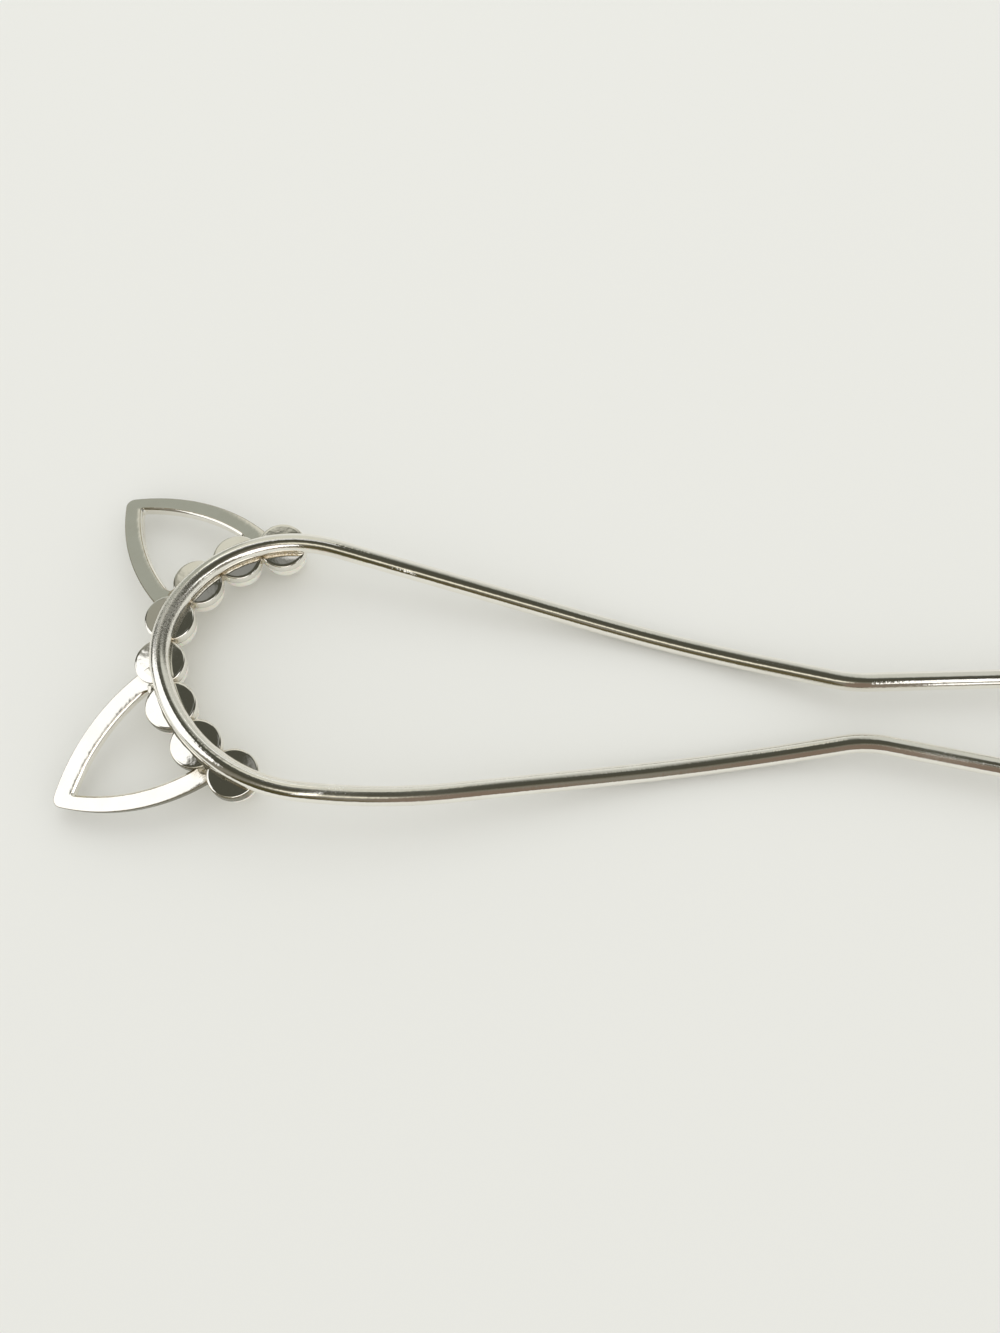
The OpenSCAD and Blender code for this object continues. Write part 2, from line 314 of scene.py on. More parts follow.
# the tarnish tone also serves painted shade, and the near black after it is painted shade only
TARNISH_AND_SHADE = (0.52, 0.42, 0.26)
SHADE_BLACK = (0.21, 0.195, 0.14)
LINE_ROUGHNESS, WEAR_ROUGHNESS, MOTTLE = 0.07, 0.40, 0.10
PIT_DEPTH, SCRATCH_DEPTH = 0.02, 0.008
# numbers of the colour sockets of a Mix node
MIX_A, MIX_B, MIX_OUT = 6, 7, 2


def plated_metal(name, bright, dark_tone, roughness, dull, ripple, dent):
    """Silver plate over brass or solder. With the darkening value, broken up by noise, its colour goes from
    bright to the dark tone, which stands for tarnish and for painted shade, and its roughness rises by dull;
    values from 1 to 2 turn it black, and that black is painted shade. Fine lines and the wear value roughen
    it. Slow waves as high as ripple and small dents as high as dent, in millimetres, bend its reflections, as
    do pits in its tarnish and painted shade and scratches where it is worn."""
    material, tree, metal = new_material(name, {"Metallic": 1.0})
    in_mm = place_in_mm(tree)
    marks = node(tree, "ShaderNodeGroup", node_tree=polish_marks, values={"Scale": 1.3})
    link(tree, in_mm, "Vector", marks, "Position")
    darkening = node(tree, "ShaderNodeAttribute", attribute_name="tarnish_and_shade")
    specks = noise(tree, in_mm, "Vector", 2.6, 5.0, 0.7)
    spread = ranged(tree, specks, "Fac", 0.3, 0.7, 0.35, 1.3)
    stain_and_shade = worked_out(tree, "MULTIPLY", darkening, "Fac", spread, "Result", clamp=True)
    tone = ranged(tree, marks, "Mottle", 0.35, 0.75, 0.0, MOTTLE)
    haze = worked_out(tree, "MAXIMUM", stain_and_shade, "Value", tone, "Result")
    worn = node(tree, "ShaderNodeAttribute", attribute_name="wear")
    grit = noise(tree, in_mm, "Vector", 7.0, 2.0, 0.6)
    grains = ranged(tree, grit, "Fac", 0.35, 0.65, 0.45)
    scuff = worked_out(tree, "MULTIPLY", worn, "Fac", grains, "Result")

    # colour: the dark tone for tarnish and painted shade, and near black from 1 to 2 for painted shade
    colour = node(tree, "ShaderNodeMix", data_type="RGBA", values={MIX_A: (*bright, 1), MIX_B: (*dark_tone, 1)})
    link(tree, haze, "Value", colour, 0)
    deep = ranged(tree, darkening, "Fac", 1.0, 2.0)
    shaded_black = node(tree, "ShaderNodeMix", data_type="RGBA", values={MIX_B: (*SHADE_BLACK, 1)})
    link(tree, deep, "Result", shaded_black, 0)
    link(tree, colour, MIX_OUT, shaded_black, MIX_A)
    link(tree, shaded_black, MIX_OUT, metal, "Base Color")

    rough = node(tree, "ShaderNodeMath", operation="MULTIPLY_ADD", values={1: dull, 2: roughness})
    link(tree, haze, "Value", rough, 0)
    lined = node(tree, "ShaderNodeMath", operation="MULTIPLY_ADD", values={1: LINE_ROUGHNESS})
    link(tree, marks, "Lines", lined, 0)
    link(tree, rough, "Value", lined, 2)
    scuffed = node(tree, "ShaderNodeMath", operation="MULTIPLY_ADD", values={1: WEAR_ROUGHNESS})
    link(tree, scuff, "Value", scuffed, 0)
    link(tree, lined, "Value", scuffed, 2)
    link(tree, scuffed, "Value", metal, "Roughness")

    waves = relief(tree, noise(tree, in_mm, "Vector", 0.8, 2.0, 0.5), "Fac", ripple)
    dents = relief(tree, noise(tree, in_mm, "Vector", 2.6, 3.0, 0.6), "Fac", dent, waves)
    tarnish_specks = worked_out(tree, "MULTIPLY", specks, "Fac", stain_and_shade, "Value")
    pits = relief(tree, tarnish_specks, "Value", PIT_DEPTH, dents)
    scratches = relief(tree, scuff, "Value", SCRATCH_DEPTH, pits)
    link(tree, scratches, "Normal", metal, "Normal")
    return material


silver_plate = plated_metal("silver_plate", SILVER, TARNISH_AND_SHADE, 0.035, 0.22, 0.010, 0.0015)
wire_plate = plated_metal("wire_plate", SILVER, TARNISH_AND_SHADE, 0.035, 0.22, 0.010, 0.009)

centre_line = np.concatenate([half_line(-1)[::-1], half_line(1)[1:]])
wire = wire_skin(centre_line)
# painted shade on the wire's underside over the cups, the dark contact line where it lies on them, up to a
# little over the cups' backs
UNDERSIDE_SHADE, SHADE_TOP, SHADE_FADE, OVER_CUPS_X = 0.8, 0.10, 0.3, -41
underside = np.clip((HEAD_HEIGHT + SHADE_TOP - wire[0][:, 2]) / SHADE_FADE, 0, 1)
fork_wire = new_piece("fork_wire", wire, wire_plate,
                      UNDERSIDE_SHADE * underside * (wire[0][:, 0] < OVER_CUPS_X))
# centre, radius and strength of each worn place; wear falls off as exp(-(distance / radius)^2)
WORN_SPOTS = [((-52.6, 2.5, 6.5), 5.0, 1.0), ((-33.5, -13.6, 3.9), 3.0, 0.8),
              ((-25.0, -12.7, 3.3), 5.0, 0.45), ((26.0, -4.9, 2.3), 4.0, 0.6)]
wear = sum(k * np.exp(-(np.linalg.norm(wire[0] - spot, axis=1) / r) ** 2) for spot, r, k in WORN_SPOTS)
point_values(fork_wire.data, "wear", wear)
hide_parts("fork_metal")

# Pearl cups
# Eight stamped brass cups in a row along the bow, back up, soldered to the wire's underside. Each has a
# slightly domed back with a rounded edge, a thin wall, and a round seat for its pearl.
CUP_R, CUP_HEIGHT, CUP_EDGE_R = 2.55, 1.35, 0.25
CUP_PITCH, CUP_OFFSET = 4.9, 0.15
CUP_DOME, CUP_SIDES = 0.02, 96
LEAN_DEPTH, WALL_RING, RIM_BEVEL, LIP_BEVEL = 0.6, 0.95, (0.05, 0.04), 0.03
SEAT_R, SEAT_DEPTH, SEAT_CENTRE, SEAT_FLAT_R = 2.42, 0.54, 2.1, 0.9
# fall of each cup's back per millimetre, outwards from the wire and inwards, from the +Y end of the row
CUP_SLOPES = [(-0.040, 0.110), (0.052, 0.105), (0.055, 0.095), (0.062, 0.01), (0.090, 0.0), (0.105, 0.002),
              (0.120, 0.0), (0.010, 0.0)]


def side_centre(side):
    """Centre of the bow's side arc, which goes on smoothly from the middle arc."""
    first, shift = np.radians(BOW_MID_TURN), BOW_SIDE_R[side] - BOW_MID_R
    return np.array([BOW_MID_R + shift * np.cos(first), -side * shift * np.sin(first), 0])


def cup_centre(i, side):
    """Centre of a cup in the head's plane, counted from the middle along a line just outside the wire."""
    run = (i + 0.5) * CUP_PITCH
    first = np.radians(BOW_MID_TURN)
    r_mid, r_side = BOW_MID_R + CUP_OFFSET, BOW_SIDE_R[side] + CUP_OFFSET
    if run < r_mid * first:
        return np.array([BOW_MID_R - r_mid * np.cos(run / r_mid), side * r_mid * np.sin(run / r_mid), 0])
    t = first + (run - r_mid * first) / r_side
    return side_centre(side) + r_side * np.array([-np.cos(t), side * np.sin(t), 0])


def outward(place):
    """Unit vector in the head's plane from the centre of the bow's arc at a cup out through the cup."""
    if np.hypot(BOW_MID_R - place[0], place[1]) < BOW_MID_R + CUP_OFFSET + 0.01:
        return unit(place - [BOW_MID_R, 0, 0])
    return unit(place - side_centre(1 if place[1] > 0 else -1))


def lathe(profile, sides):
    """Rings of an outline turned about the z axis: (r cos a, r sin a, z) for each outline point (r, z)."""
    angle = np.linspace(0, 2 * np.pi, sides, endpoint=False)
    r, z = profile[:, :1], profile[:, 1:]
    return np.stack([r * np.cos(angle), r * np.sin(angle), z + 0 * angle], -1)


def arc_2d(centre, r, start, end, count):
    """Points on a circle from one angle to another, in degrees."""
    t = np.radians(np.linspace(start, end, count))
    return np.stack([centre[0] + r * np.cos(t), centre[1] + r * np.sin(t)], -1)


def cup_rings(out, slopes):
    """Cup turned from its outline: domed back -CUP_DOME (r / R)^2, rounded edge, wall, rim, and the seat as
    part of a ball. The back falls by slopes[0] per millimetre towards out and by slopes[1] the other way, and
    that lean dies out down to LEAN_DEPTH."""
    flat_r = CUP_R - CUP_EDGE_R
    r = np.linspace(0.12, 1, 14) * flat_r
    back = np.stack([r, -CUP_DOME * (r / flat_r) ** 2], -1)
    edge = arc_2d((flat_r, -CUP_DOME - CUP_EDGE_R), CUP_EDGE_R, 78, 0, 9)
    wall = np.array([[CUP_R, -LEAN_DEPTH], [CUP_R, -WALL_RING], [CUP_R, RIM_BEVEL[1] - CUP_HEIGHT],
                     [CUP_R - RIM_BEVEL[0], -CUP_HEIGHT]])
    lip_r = np.sqrt(SEAT_R ** 2 - (SEAT_CENTRE - CUP_HEIGHT) ** 2)
    seat_t = np.degrees(np.arcsin((SEAT_CENTRE - np.array([CUP_HEIGHT - LIP_BEVEL, SEAT_DEPTH])) / SEAT_R))
    seat = arc_2d((0, -SEAT_CENTRE), SEAT_R, seat_t[0], seat_t[1], 7)
    rings = lathe(np.concatenate([back, edge, wall, [[lip_r + LIP_BEVEL, -CUP_HEIGHT]], seat,
                                  [[SEAT_FLAT_R, -SEAT_DEPTH]]]), CUP_SIDES)
    lean = np.clip((rings[..., 2:] + LEAN_DEPTH) / LEAN_DEPTH, 0, 1)
    away = rings @ out
    fall = slopes[0] * np.clip(away, 0, None) + slopes[1] * np.clip(-away, 0, None)
    rings[..., 2] -= lean[..., 0] * fall
    return rings


def joined(skins):
    """Several skins as one list of points and one list of faces."""
    points, faces, base = [], [], 0
    for p, f in skins:
        points.append(p)
        faces += [[i + base for i in face] for face in f]
        base += len(p)
    return np.concatenate(points), faces


cup_places = [cup_centre(i, 1) for i in (3, 2, 1, 0)] + [cup_centre(i, -1) for i in (0, 1, 2, 3)]
cup_middles = from_head(cup_places)


def from_cups(points):
    """Distance in plan from each point to the middle of each cup."""
    return np.linalg.norm(points[:, None, :2] - cup_middles[None, :, :2], axis=-1)


skins = []
for place, slopes in zip(cup_places, CUP_SLOPES):
    rings = from_head(cup_rings(outward(place), slopes) + place)
    skins.append(ring_stack(rings, from_head(place), from_head(place - [0, 0, SEAT_DEPTH])))
cups = joined(skins)
# stained in the notches, within reach of a second cup; painted shade turns the near walls of the last cups
# black
NOTCH_REACH, NOTCH_FADE = 3.25, 0.7
WALL_SKIN, WALL_FADE, WALL_START, LAST_CUPS_Y = 0.06, 1.2, 0.6, -5
reach = from_cups(cups[0])
notches = np.clip((NOTCH_REACH - np.sort(reach, axis=1)[:, 1]) / NOTCH_FADE, 0, 1)
own_y = cup_middles[reach.argmin(1), 1]
# painted shade, near black, on the near walls
shaded_wall = np.clip((own_y - cups[0][:, 1]) / WALL_FADE - WALL_START, 0, 1)
shaded_wall = shaded_wall * (reach.min(1) > CUP_R - WALL_SKIN) * (own_y < LAST_CUPS_Y)
pearl_cups = new_piece("pearl_cups", cups, silver_plate, np.maximum(notches, 2.0 * shaded_wall))
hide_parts("fork_metal")

# Cat ears
# Two flat pointed ears, cast with an open middle whose back edge is chamfered. Both feet are soldered to the
# walls of the cups, where solder fills the corners of the opening, and the ears lean a little forward.
EAR_FOOT, EAR_FOOT_TURN, EAR_DROP, EAR_TILT = np.array([-1.6, 3.85]), 47.85, 0.25, 13.0
EAR_WIDTH, EAR_THICKNESS = 13.6, 1.05
EAR_POINT, EAR_BULGES, EAR_TIP_R = np.array([5.5, 14.45]), (1.38, 1.74), 0.9
HOLE_START, HOLE_POINT, HOLE_END = np.array([1.65, 0.35]), np.array([5.95, 12.45]), np.array([11.9, 1.0])
HOLE_BULGES, HOLE_TIP_R = (1.0, 1.05), 0.35
FOOT_DEPTH = 1.1
CHAMFER_WIDTH, CHAMFER_DEPTH = 0.24, 0.20
BACK_EDGE_R, FRONT_EDGE_R, WALL_MIDDLE, FLAT_RING = 0.12, 0.16, 0.6, 0.5
BAND_EXTRA, WEB_WIDTH, WEB_HEIGHT = 0.31, 1.9, 2.6
ARC_POINTS, TIP_POINTS = 90, 18
# stain of the ears' feet near the cups, and how much more the last foot has, past LAST_FOOT_Y
FOOT_REACH, FOOT_FADE, FOOT_STAIN, LAST_FOOT_STAIN, LAST_FOOT_Y = 3.1, 0.6, 0.15, 0.75, -11
# painted shade along the ear's edges, near black, by the point's number in a section: the back's outer edge,
# chamfer's border, front's edge
EDGE_SHADE = {0: 2.0, 1: 2.0, 2: 2.0, 3: 2.0, 4: 1.8, 5: 1.2, 10: 1.3, -3: 1.6, -2: 2.0, -1: 2.0}


def arc_through(a, b, bulge):
    """Centre and radius of the arc from a to b that bulges to the left of that way by so much."""
    half = np.linalg.norm(b - a) / 2
    r = (half ** 2 + bulge ** 2) / (2 * bulge)
    d = b - a
    return (a + b) / 2 + unit([d[1], -d[0]]) * (r - bulge), r


def pointed_outline(a, point, b, bulges, tip_r):
    """Outline of two arcs that meet in a point rounded by a circle of radius tip_r, starting and ending at
    y = -FOOT_DEPTH. The tip circle's centre is r - tip_r from the centres of both arcs."""
    (c1, r1), (c2, r2) = arc_through(a, point, bulges[0]), arc_through(point, b, bulges[1])
    d = np.linalg.norm(c1 - c2)
    u = (c1 - c2) / d
    run = ((r2 - tip_r) ** 2 - (r1 - tip_r) ** 2 + d * d) / (2 * d)
    tip = c2 + run * u + np.sqrt((r2 - tip_r) ** 2 - run ** 2) * np.array([-u[1], u[0]])
    up = np.degrees(np.arctan2(*(tip - c1)[::-1])), np.degrees(np.arctan2(*(tip - c2)[::-1]))
    low1 = 180 - np.degrees(np.arcsin((-FOOT_DEPTH - c1[1]) / r1))
    low2 = np.degrees(np.arcsin((-FOOT_DEPTH - c2[1]) / r2))
    return np.concatenate([arc_2d(c1, r1, low1, up[0], ARC_POINTS),
                           arc_2d(tip, tip_r, up[0], up[1], TIP_POINTS)[1:-1],
                           arc_2d(c2, r2, up[1], low2, ARC_POINTS)])


def ear_rings():
    """Sections of the ear along its outline. Each runs round the plate from the outer to the inner outline:
    rounded outer edge, flat back, chamfer with softened borders, inner wall, flat front. Solder widens the
    band by WEB_WIDTH (1 - height / WEB_HEIGHT)^2 at its feet."""
    outer = pointed_outline(np.zeros(2), EAR_POINT, np.array([EAR_WIDTH, 0.0]), EAR_BULGES, EAR_TIP_R)
    inner = pointed_outline(HOLE_START, HOLE_POINT, HOLE_END, HOLE_BULGES, HOLE_TIP_R)
    width = np.linalg.norm(inner - outer, axis=1)[:, None]
    way = (inner - outer) / width
    web = np.clip((WEB_HEIGHT - FOOT_DEPTH - outer[:, 1:]) / WEB_HEIGHT, 0, 1)
    width = width + BAND_EXTRA + WEB_WIDTH * web ** 2
    t, w, d = EAR_THICKNESS, CHAMFER_WIDTH, CHAMFER_DEPTH
    outer_edge = arc_2d((BACK_EDGE_R, -BACK_EDGE_R), BACK_EDGE_R, 180, 90, 8)
    front_edge = arc_2d((FRONT_EDGE_R, FRONT_EDGE_R - t), FRONT_EDGE_R, 270, 180, 6)
    chamfer = np.array([[-w - 0.05, 0], [-w, -0.008], [-w + 0.05, -0.035],
                        [-0.06, 0.03 - d], [-0.015, -d - 0.01], [0, -d - 0.06]])
    wall = np.array([[0, -WALL_MIDDLE], [0, FRONT_EDGE_R - t], [-0.05, 0.05 - t], [-FRONT_EDGE_R, -t]])
    near, far = np.concatenate([outer_edge, [[FLAT_RING, 0]]]), np.concatenate([chamfer, wall])
    front = [[FLAT_RING, *front_edge[:, 0]]] + 0 * width
    s = np.concatenate([near[:, 0] + 0 * width, far[:, 0] + width, front], 1)
    z = np.concatenate([near[:, 1], far[:, 1], [-t], front_edge[:, 1]])
    flat = outer[:, None] + way[:, None] * s[..., None]
    return np.concatenate([flat, np.broadcast_to(z[:, None], (*s.shape, 1))], -1)


def place_ear(points, side):
    """Points of the ear's plane in the part's frame: leaned forward about the feet, turned, and moved."""
    lean, turn = np.radians(-EAR_TILT), np.radians(EAR_FOOT_TURN)
    x, y, z = np.moveaxis(points, -1, 0)
    y, z = y * np.cos(lean) - z * np.sin(lean), y * np.sin(lean) + z * np.cos(lean)
    x, y = x * np.cos(turn) - y * np.sin(turn), x * np.sin(turn) + y * np.cos(turn)
    return from_head(np.stack([x + EAR_FOOT[0], side * (y + EAR_FOOT[1]), z - EAR_DROP], -1))


rings = ear_rings()
edge = np.zeros(rings.shape[:2])
edge[:, list(EDGE_SHADE)] = list(EDGE_SHADE.values())
for name, side in (("left_ear", 1), ("right_ear", -1)):
    skin = ring_stack(place_ear(rings, side), *(place_ear(rings[k].mean(0), side) for k in (0, -1)))
    stain_and_shade = np.clip((FOOT_REACH - from_cups(skin[0]).min(1)) / FOOT_FADE, 0, 1)
    stain_and_shade = stain_and_shade * (FOOT_STAIN + LAST_FOOT_STAIN * (skin[0][:, 1] < LAST_FOOT_Y))
    # dark lines of painted shade along the edges
    stain_and_shade[:edge.size] = np.maximum(stain_and_shade[:edge.size], edge.ravel())
    ear = new_piece(name, skin, silver_plate, stain_and_shade)
    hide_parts("fork_metal")

# Solder
# Soft solder, run in along the outer side of the bow's wire and in the notches between the cups. It is
# lumpier and duller than the wire and yellows where the polish did not reach; on the bow's -Y half its
# fillet is painted near black, as shade in the crease between wire and cups.
SOLDER = (0.88, 0.85, 0.78)
# the stain tone also serves painted shade in the fillet's crease
SOLDER_STAIN_AND_SHADE = (0.36, 0.30, 0.18)
solder_metal = plated_metal("solder_metal", SOLDER, SOLDER_STAIN_AND_SHADE, 0.10, 0.25, 0.09, 0.03)
FILLET_WIDTH, FILLET_HEIGHT, FILLET_SWELL, FILLET_PHASE = 0.20, 0.42, 0.35, 0.4
FILLET_X, FILLET_Y = -42.0, (-13.0, 4.0)
# the fillet's section, from the wire's middle: its hollow face, its toe, and what is sunk in wire and cups
FACE_X, TOE_X, SUNK_X, SUNK_TOP, SUNK_LOW = 0.97, 0.95, 0.55, -0.1, -0.85


def lumps(run, phase):
    """Slow and quick waves along a run, between about -1 and 1."""
    slow, quick = 0.5 * np.sin(run * 0.9 + phase), 0.3 * np.sin(run * 2.3 + 2.1 * phase)
    return slow + quick + 0.2 * np.sin(run * 5.1 + phase)


def fillet_skin():
    """Fillet along the outer side of the bow: a closed section with a hollow face, a quarter of an ellipse
    from the wire's side down to the cups' backs, whose width swells and shrinks along the run."""
    x, y = centre_line[:, 0], centre_line[:, 1]
    line = centre_line[(x < FILLET_X) & (y < FILLET_Y[1]) & (y > FILLET_Y[0])]
    reach = FILLET_WIDTH * (1 + FILLET_SWELL * lumps(along(line), FILLET_PHASE))[:, None]
    t = np.radians(np.linspace(180, 270, 7))
    hollow_x = FACE_X + reach * (1 + np.cos(t))
    hollow_y = -WIRE_LIFT + FILLET_HEIGHT * (1 + np.sin(t)) + 0 * reach
    x = np.concatenate([SUNK_X + 0 * reach, hollow_x, TOE_X + reach, SUNK_X + 0 * reach], 1)
    y = np.concatenate([SUNK_TOP + 0 * reach, hollow_y, SUNK_LOW + 0 * reach, SUNK_LOW + 0 * reach], 1)
    rings = swept(line, np.stack([x, y], -1), level_across(line))
    return ring_stack(rings, rings[0].mean(0), rings[-1].mean(0))


def drop_skin(centre, radii, turn, phase):
    """Lump of solder: a ball with three radii, turned in plan, with waves of a twentieth on its surface."""
    v = np.radians(np.linspace(-84, 84, 15))[:, None]
    u = np.linspace(0, 2 * np.pi, 28, endpoint=False)
    swell = 1 + 0.05 * np.sin(3 * u + phase) * np.cos(v) + 0.04 * np.sin(2 * v + phase)
    ball = np.stack([np.cos(v) * np.cos(u), np.cos(v) * np.sin(u), np.sin(v) + 0 * u], -1) * swell[..., None]
    c, s = np.cos(turn), np.sin(turn)
    spin = np.array([[c, s, 0], [-s, c, 0], [0, 0, 1]])
    poles = np.array([[0, 0, -1.0], [0, 0, 1.0]])
    return ring_stack(*(from_head(centre + (p * radii) @ spin) for p in (ball, poles[0], poles[1])))


# a little tarnish all along the fillet, and painted shade in its crease, near black, along the bow from
# FILLET_DARK_Y over FILLET_DARK_RUN
FILLET_DARK_Y, FILLET_DARK_RUN, FILLET_STAIN, FILLET_CREASE_SHADE = -3.0, 2.0, 0.15, 1.85
fillet = fillet_skin()
dark = np.clip((FILLET_DARK_Y - fillet[0][:, 1]) / FILLET_DARK_RUN, 0, 1)
wire_solder = new_piece("wire_solder", fillet, solder_metal, FILLET_STAIN + FILLET_CREASE_SHADE * dark)
# radii of a drop, and how far it lies out from the row of cups and how far up from their backs
NOTCH_DROP, NOTCH_DROP_OUT, NOTCH_DROP_UP = (0.50, 0.34, 0.56), 0.86, -0.72
BIG_DROP, BIG_DROP_OUT, BIG_DROP_UP = (0.85, 0.62, 0.50), 1.35, -0.62
BIG_DROP_NOTCHES = (2, 4, 6)
drops = []
for k in range(7):
    a, b = cup_places[k], cup_places[k + 1]
    row, middle = unit(b - a), (a + b) / 2
    out, turn = np.array([row[1], -row[0], 0]), np.arctan2(row[1], row[0])
    for way in (1, -1):
        spot = middle + way * out * NOTCH_DROP_OUT + [0, 0, NOTCH_DROP_UP]
        drops.append(drop_skin(spot, NOTCH_DROP, turn, 1.7 * k + way))
    if k in BIG_DROP_NOTCHES:
        spot = middle + BIG_DROP_OUT * out + [0, 0, BIG_DROP_UP]
        drops.append(drop_skin(spot, BIG_DROP, turn, 2.3 * k))
notch_lumps = joined(drops)
# clean where the polish reached, at the front of the bow: x under CLEAN_X and y under CLEAN_Y
CLEAN_X, CLEAN_X_FADE, CLEAN_Y, CLEAN_Y_FADE = -51.0, 0.5, -1.0, 1.5
NOTCH_STAIN, NOTCH_CLEANER = 0.9, 0.8
clean = (np.clip((CLEAN_Y - notch_lumps[0][:, 1]) / CLEAN_Y_FADE, 0, 1)
         * np.clip((CLEAN_X - notch_lumps[0][:, 0]) / CLEAN_X_FADE, 0, 1))
notch_solder = new_piece("notch_solder", notch_lumps, solder_metal, NOTCH_STAIN - NOTCH_CLEANER * clean)
for piece in (wire_solder, notch_solder):
    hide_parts("fork_metal")

# Pearls
# Eight resin balls with a cream pearl lacquer, glued into the cups. Their flat backs are hidden in the
# seats; their round fronts carry the head on the floor.
PEARL_R, PEARL_FLAT, PEARL_FLAT_R, PEARL_SIDES = 2.36, 0.60, 0.7, 72
# the last of these tones is a painted sheen, mixed in at the edge of the view
PEARL, PEARL_CLOUD, PEARL_SHEEN = (0.93, 0.905, 0.82), (0.88, 0.845, 0.74), (0.95, 0.92, 0.85)
LACQUER = {"Roughness": 0.28, "Subsurface Weight": 0.25, "Subsurface Scale": 0.0006, "Coat Weight": 0.35,
           "Coat Roughness": 0.08, "Specular IOR Level": 0.6, "Sheen Weight": 0.15}
GRAIN_HEIGHT = 0.004


def pearl_lacquer():
    """Cream lacquer: a faint cloudy change of colour, a painted sheen that pales the colour at the edge of
    the view, soft gloss and a thin clear coat."""
    material, tree, body = new_material("pearl_lacquer", LACQUER)
    in_mm = place_in_mm(tree)
    tones = node(tree, "ShaderNodeValToRGB")
    for stop, at, colour in zip(tones.color_ramp.elements, (0.35, 0.65), (PEARL_CLOUD, PEARL)):
        stop.position, stop.color = at, (*colour, 1)
    link(tree, noise(tree, in_mm, "Vector", 0.6, 5.0, 0.6), "Fac", tones, "Fac")
    # painted sheen: the colour pales towards the edge of the view
    edge_on = node(tree, "ShaderNodeLayerWeight", values={"Blend": 0.35})
    painted_sheen = node(tree, "ShaderNodeMix", data_type="RGBA", values={MIX_B: (*PEARL_SHEEN, 1)})
    link(tree, edge_on, "Facing", painted_sheen, 0)
    link(tree, tones, "Color", painted_sheen, MIX_A)
    link(tree, painted_sheen, MIX_OUT, body, "Base Color")
    grain = relief(tree, noise(tree, in_mm, "Vector", 5.0, 3.0, 0.5), "Fac", GRAIN_HEIGHT)
    link(tree, grain, "Normal", body, "Normal")
    return material


lacquer = pearl_lacquer()
top_turn = np.degrees(np.arcsin((SEAT_CENTRE - PEARL_FLAT) / PEARL_R))
ball = arc_2d((0, -SEAT_CENTRE), PEARL_R, top_turn, -87, 44)
outline = np.concatenate([[[PEARL_FLAT_R, -PEARL_FLAT]], ball])
for k, place in enumerate(cup_places):
    skin = ring_stack(from_head(lathe(outline, PEARL_SIDES) + place), from_head(place - [0, 0, PEARL_FLAT]),
                      from_head(place - [0, 0, SEAT_CENTRE + PEARL_R]))
    pearl = new_piece(f"pearl_ball_{k + 1}", skin, lacquer, np.zeros(len(skin[0])))
    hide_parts(f"pearl_{k + 1}")

# Floor
# A plain pale matte ground under the object, not part of it. It is wide enough to run on past the edges of
# the picture.
FLOOR_HALF = 1.5
GROUND = {"Base Color": (0.80, 0.80, 0.77, 1), "Roughness": 0.85, "Specular IOR Level": 0.15}
floor_mesh = bpy.data.meshes.new("floor")
corners = [(x * FLOOR_HALF, y * FLOOR_HALF, 0) for x, y in ((-1, -1), (1, -1), (1, 1), (-1, 1))]
floor_mesh.from_pydata(corners, [], [(0, 1, 2, 3)])
floor_mesh.materials.append(new_material("pale_ground", GROUND)[0])
floor = bpy.data.objects.new("floor", floor_mesh)
bpy.context.scene.collection.objects.link(floor)

# Camera
# Held about 10 cm over the floor on the right ear's side and tipped 21 degrees towards the left one, with a
# phone's wide lens. Its place, and its own right and up, were worked out from the object's outline.
CAMERA_AT = np.array([-15.6214, -37.248, 99.687]) * MM
CAMERA_RIGHT = np.array([0.996566, 0.082767, 0.002243])
CAMERA_UP = np.array([-0.077837, 0.927287, 0.366170])
FOCAL_PIXELS, FRAME_HEIGHT, SENSOR = 1005.8, 1333, 36.0


def set_down(name, data, right, up, at):
    """Camera or light as an object of the scene at a point, with its own x and y along right and up, and its
    z, against which it looks or shines, along right x up."""
    thing = bpy.data.objects.new(name, data)
    matrix = np.eye(4)
    matrix[:3, 0], matrix[:3, 1] = right, up
    matrix[:3, 2], matrix[:3, 3] = np.cross(right, up), at
    thing.matrix_world = matrix.T
    bpy.context.scene.collection.objects.link(thing)
    return thing


camera_data = bpy.data.cameras.new("camera")
camera_data.sensor_fit, camera_data.sensor_width = "AUTO", SENSOR
camera_data.lens = SENSOR * FOCAL_PIXELS / FRAME_HEIGHT
camera_data.clip_start, camera_data.clip_end = 0.005, 20
bpy.context.scene.camera = set_down("camera", camera_data, CAMERA_RIGHT, CAMERA_UP, CAMERA_AT)

# Studio light
# A soft key from the far side and a pale room light everything matte. The gloss sees a room of its own: a
# ceiling dark in the middle and bright on the far side, soft cards on it, and four small cards close to the
# wire and the rims.
KEY_AT, KEY_COLOUR = np.array([-0.05, 0.42, 0.50]), (0.92, 0.98, 1.0)
KEY_ENERGY, KEY_SIZE = 0.50, 0.50
key_data = bpy.data.lights.new("key", "AREA")
key_data.energy, key_data.size, key_data.color = KEY_ENERGY, KEY_SIZE, KEY_COLOUR
level = unit(np.cross(-KEY_AT, [0.0, 0.0, 1.0]))
key_light = set_down("key", key_data, level, np.cross(level, unit(-KEY_AT)), KEY_AT)
key_light.visible_glossy = False


def gloss_card(name, centre, long_way, short_way, size, brightness):
    """Area light that only the gloss sees, in mm: a rectangle with its long and short side along two
    directions, shining against long x short. Its power is brightness times pi times its area."""
    data = bpy.data.lights.new(name, "AREA")
    data.shape, data.size, data.size_y = "RECTANGLE", size[0] * MM, size[1] * MM
    data.energy = brightness * np.pi * data.size * data.size_y
    long_way = unit(long_way)
    short_way = unit(short_way - long_way * (long_way @ short_way))
    card = set_down(name, data, long_way, short_way, np.array(centre) * MM)
    card.visible_diffuse = card.visible_camera = False


